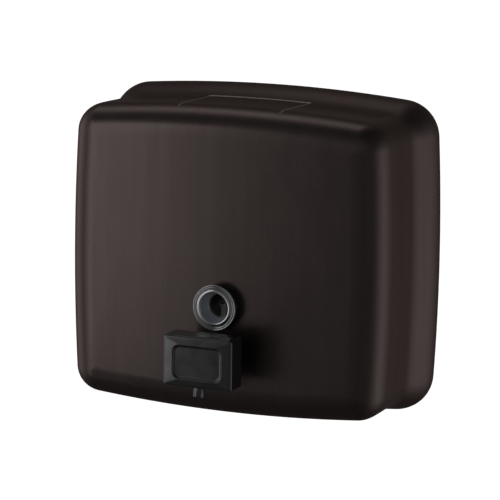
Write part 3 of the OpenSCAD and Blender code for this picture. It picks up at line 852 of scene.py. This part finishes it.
def build_spout(bm):
    """The spout's tube: a narrow bore that widens near the tip to hold the duckbill."""
    tip, r, bore, seat, top = -SPOUT_LEN, SPOUT_R, 1.3, 2.1, -2.7
    turned_down(bm, [(bore, top), (r, top), (r, tip + 1.6), (r - 0.1, tip + 1.3), (r - 0.1, tip + 0.5),
                     (r - 0.25, tip + 0.15), (r - 0.5, tip), (seat + 0.1, tip), (seat, tip + 0.15),
                     (seat, tip + 4), (bore, tip + 4)])


def build_duckbill(bm):
    """The anti-drip valve in the spout's tip: a rubber flange that narrows to a small round mouth."""
    tip = -SPOUT_LEN
    turned_down(bm, [(1.2, tip + 3.9), (2.05, tip + 3.9), (2.05, tip + 3.1), (1.85, tip + 2.9),
                     (1.0, tip + 0.9), (0.75, tip + 0.35), (0.25, tip + 0.3), (0.25, tip + 1.6),
                     (1.1, tip + 3.0)], 48)


def build_collar(bm):
    """The valve's collar in front of the shell and its shank through the hole, bored for the stem."""
    y0, y1, r = -90.0, FRONT_Y - 1.0, 10.9
    bore, shank, chamber, step_y, shank_y = 4.05, 9.0, 8.05, -77, -70
    lathe(bm, [(bore, step_y), (bore, y0 + 0.3), (bore + 0.35, y0), (r - 1.2, y0), (r - 0.4, y0 + 0.25),
               (r, y0 + 0.9), (r, y1 - 0.4), (r - 0.3, y1), (shank, y1), (shank, shank_y - 0.4),
               (shank - 0.4, shank_y), (chamber, shank_y), (chamber, step_y)], VALVE_Z, 96, closed=True)


COIL_R, COIL_WIRE_R, COIL_TURNS = 5.4, 0.55, 5.5
COIL_STEPS, COIL_SIDES = 220, 12


def build_coil(bm):
    """The return spring: a wire swept along a helix about the plunger's axis."""
    lo, hi = size_mm("return_spring")
    rings = []
    for k in range(COIL_STEPS + 1):
        turn = 2 * math.pi * COIL_TURNS * k / COIL_STEPS
        y = lo.y + COIL_WIRE_R + (hi.y - lo.y - 2 * COIL_WIRE_R) * k / COIL_STEPS
        ring = []
        for j in range(COIL_SIDES):
            around = 2 * math.pi * j / COIL_SIDES
            r = COIL_R + COIL_WIRE_R * math.cos(around)
            ring.append(bm.verts.new((r * math.cos(turn), y + COIL_WIRE_R * math.sin(around),
                                      VALVE_Z + r * math.sin(turn))))
        rings.append(ring)
    for a, b in zip(rings, rings[1:]):
        for j in range(COIL_SIDES):
            i = (j + 1) % COIL_SIDES
            bm.faces.new((a[j], a[i], b[i], b[j]))
    bm.faces.new(rings[0])
    bm.faces.new(rings[-1])


def make_coil():
    coil = new_piece("spring_coil", build_coil, "dispenser", [SPRING], ["return_spring"])
    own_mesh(coil)


def make_valve():
    button = new_piece("button_cap", build_button, "plunger", [BLACK], ["push_button"])
    even_normals(button, 90, keep_sharp=False)
    new_piece("button_boss", build_button_inside, "plunger", [BLACK], bevel=0.15)
    new_piece("spout_tube", build_spout, "plunger", [BLACK], ["spout"])
    new_piece("spout_duckbill", build_duckbill, "plunger", [RUBBER], ["duckbill"])
    new_piece("valve_collar", build_collar, "dispenser", [BLACK], ["valve_body"])
    new_piece("valve_seal", build_ring(10.8, 9.1, FRONT_Y - 1, FRONT_Y, VALVE_Z, 0.2), "dispenser",
              [RUBBER], ["valve_gasket"])


make_valve()
make_coil()


# ---------------------------------------------------------------- floor and light
FLOOR_SIZE, FLOOR_Z = 40, -0.42


def make_floor():
    bpy.ops.mesh.primitive_plane_add(size=FLOOR_SIZE, location=(0, 0, FLOOR_Z))
    floor = bpy.context.object
    floor.name = "floor"
    m = Nodes("pale_floor")
    m.colour(m.ramp(m.noise(3, 3), [(0.3, (0.9, 0.9, 0.9)), (0.7, (0.92, 0.92, 0.92))]))
    m.set(Roughness=0.9, Emission_Color=(1, 1, 1, 1), Emission_Strength=1.0)
    floor.data.materials.append(m.material)
    floor.visible_diffuse = False
    floor.visible_glossy = False
    floor.visible_transmission = False
    floor.visible_shadow = False


class Studio:
    """The world: white behind the object, and a dim room with soft bright patches for everything else."""

    def __init__(self, ambient):
        world = bpy.data.worlds.new("studio")
        bpy.context.scene.world = world
        world.use_nodes = True
        self.tree = world.node_tree
        self.direction = self.tree.nodes.new("ShaderNodeTexCoord").outputs["Generated"]
        self.total = ambient

    def math(self, operation, *inputs):
        node = self.tree.nodes.new("ShaderNodeMath")
        node.operation = operation
        for socket, value in zip(node.inputs, inputs):
            if isinstance(value, (int, float)):
                socket.default_value = value
            else:
                self.tree.links.new(value, socket)
        return node.outputs[0]

    def along(self, axis):
        node = self.tree.nodes.new("ShaderNodeVectorMath")
        node.operation = "DOT_PRODUCT"
        node.inputs[1].default_value = axis
        self.tree.links.new(self.direction, node.inputs[0])
        return node.outputs["Value"]

    def patch(self, azimuth, elevation, width, height, strength):
        """A soft patch seen in a direction (0 is in front, 90 is to the right), sizes in degrees."""
        a, e = math.radians(azimuth), math.radians(elevation)
        centre = Vector((math.sin(a) * math.cos(e), -math.cos(a) * math.cos(e), math.sin(e)))
        across = Vector((0, 0, 1)).cross(centre).normalized()
        up = centre.cross(across)
        p = self.along(across / (math.sqrt(2) * math.sin(math.radians(width))))
        q = self.along(up / (math.sqrt(2) * math.sin(math.radians(height))))
        spread = self.math("MULTIPLY_ADD", p, p, self.math("MULTIPLY", q, q))
        glow = self.math("POWER", math.exp(-1), spread)
        facing = self.math("GREATER_THAN", self.along(centre), 0.0)
        shown = self.math("MULTIPLY", glow, facing)
        self.total = self.math("MULTIPLY_ADD", shown, strength, self.total)

    def finish(self):
        nodes, links = self.tree.nodes, self.tree.links
        room = nodes["Background"]
        links.new(self.total, room.inputs["Strength"])
        room.inputs["Color"].default_value = (1, 1, 1, 1)
        white = nodes.new("ShaderNodeBackground")
        white.inputs["Color"].default_value = (1, 1, 1, 1)
        mix = nodes.new("ShaderNodeMixShader")
        links.new(nodes.new("ShaderNodeLightPath").outputs["Is Camera Ray"], mix.inputs["Fac"])
        links.new(room.outputs[0], mix.inputs[1])
        links.new(white.outputs[0], mix.inputs[2])
        links.new(mix.outputs[0], nodes["World Output"].inputs["Surface"])


def softbox(name, place, aim, width, height, power):
    data = bpy.data.lights.new(name, "AREA")
    data.shape = "RECTANGLE"
    data.size = width
    data.size_y = height
    data.energy = power
    light = bpy.data.objects.new(name, data)
    bpy.context.scene.collection.objects.link(light)
    light.location = place
    light.rotation_euler = (Vector(aim) - Vector(place)).to_track_quat("-Z", "Y").to_euler()


def make_lights():
    """A dim room with five soft patches, and two tall softboxes in front, left of the camera."""
    studio = Studio(ambient=0.02)
    studio.patch(-90, 0, 20, 20, 0.45)
    studio.patch(115, -15, 25, 20, 0.32)
    studio.patch(0, 15, 25, 20, 0.08)
    studio.patch(-125, 60, 15, 10, 0.40)
    studio.patch(-165, 15, 20, 20, 0.03)
    studio.finish()
    centre = (0, -0.045, 0)
    softbox("key", (-0.34, -0.55, 0.06), centre, 0.17, 0.51, 0.13)
    softbox("fill", (-0.51, -0.55, -0.02), centre, 0.17, 1.0, 0.12)
    bpy.context.scene.view_settings.view_transform = "Standard"


make_floor()
make_lights()
